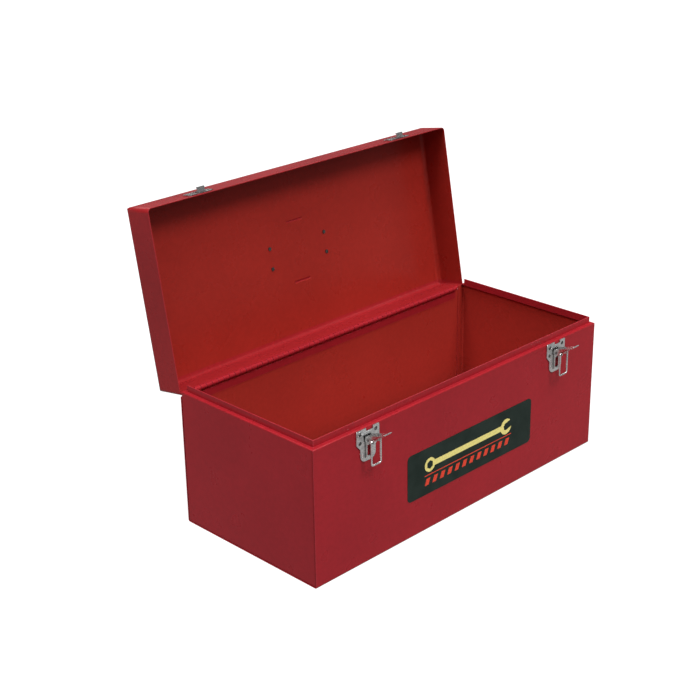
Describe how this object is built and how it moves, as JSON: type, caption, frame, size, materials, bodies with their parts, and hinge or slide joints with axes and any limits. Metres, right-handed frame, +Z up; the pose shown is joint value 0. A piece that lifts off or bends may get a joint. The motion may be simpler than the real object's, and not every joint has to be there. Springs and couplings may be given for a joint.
{
  "type": "toolbox",
  "caption": "Folded steel toolbox with a hinged flanged lid, draw latches, a folding carrying handle and a lift-out divided tray.",
  "frame": {"origin": "middle of the underside, on the surface that the box stands on", "axes": "+X along the box's length, -Y towards the latch side, +Z up"},
  "size_m": [0.5, 0.3351, 0.3903],
  "materials": {
    "red_paint": "gloss enamel on sheet steel",
    "zinc_steel": "bright zinc plate",
    "hinge_steel": "painted over with the box",
    "grip_plastic": "moulded, satin",
    "label": "gloss printed plate"
  },
  "bodies": {
    "box": {"body_wrap": "red_paint", "body_end_left": "red_paint", "body_end_right": "red_paint", "hinge_body_leaf": "hinge_steel", "hinge_pin": "zinc_steel", "latch_base_left": "zinc_steel", "latch_base_right": "zinc_steel", "latch_pin_left": "zinc_steel", "latch_pin_right": "zinc_steel", "latch_rivets_left": "zinc_steel", "latch_rivets_right": "zinc_steel", "label_plate": "label"},
    "lid": {"lid_shell": "red_paint", "hinge_lid_leaf": "hinge_steel", "strike_left": "zinc_steel", "strike_right": "zinc_steel", "strike_rivets": "zinc_steel", "handle_clip_left": "zinc_steel", "handle_clip_right": "zinc_steel", "handle_clip_rivets": "zinc_steel"},
    "lever_left": {"latch_lever_left": "zinc_steel"},
    "lever_right": {"latch_lever_right": "zinc_steel"},
    "bail_left": {"latch_bail_left": "zinc_steel"},
    "bail_right": {"latch_bail_right": "zinc_steel"},
    "handle": {"handle_rod": "zinc_steel", "handle_grip": "grip_plastic"},
    "tray": {"tray_pan": "red_paint", "tray_divider_left": "red_paint", "tray_divider_right": "red_paint", "tray_bracket_left": "zinc_steel", "tray_bracket_right": "zinc_steel", "tray_bracket_rivets": "zinc_steel"},
    "tray_handle": {"tray_handle_rod": "zinc_steel"}
  },
  "joints": [
    {"name": "lid_hinge", "type": "hinge", "parent": "box", "child": "lid", "pos_m": [0, 0.108, 0.168], "axis": [-1, 0, 0], "range_deg": [-100, 0]},
    {"name": "lever_left_pivot", "type": "hinge", "parent": "box", "child": "lever_left", "pos_m": [-0.168, -0.1165, 0.157], "axis": [-1, 0, 0], "range_deg": [-108, 0]},
    {"name": "bail_left_pivot", "type": "hinge", "parent": "lever_left", "child": "bail_left", "pos_m": [-0.168, -0.12451, 0.15824], "axis": [-1, 0, 0], "range_deg": [0, 288]},
    {"name": "lever_right_pivot", "type": "hinge", "parent": "box", "child": "lever_right", "pos_m": [0.168, -0.1165, 0.157], "axis": [-1, 0, 0], "range_deg": [-108, 0]},
    {"name": "bail_right_pivot", "type": "hinge", "parent": "lever_right", "child": "bail_right", "pos_m": [0.168, -0.12451, 0.15824], "axis": [-1, 0, 0], "range_deg": [0, 288]},
    {"name": "handle_pivot", "type": "hinge", "parent": "lid", "child": "handle", "pos_m": [0, 0.17727, 0.26545], "axis": [1, 0, 0], "range_deg": [0, 160]},
    {"name": "tray_lift", "type": "slide", "parent": "box", "child": "tray", "axis": [0, 0, 1], "range_m": [0, 0.2]},
    {"name": "tray_handle_pivot", "type": "hinge", "parent": "tray", "child": "tray_handle", "pos_m": [0, -0.003, 0.0403], "axis": [-1, 0, 0], "range_deg": [0, 189]}
  ],
  "couplings": [
    {"joint": "bail_left_pivot", "follows": "lever_left_pivot", "ratio": -2.6667},
    {"joint": "bail_right_pivot", "follows": "lever_right_pivot", "ratio": -2.6667}
  ]
}
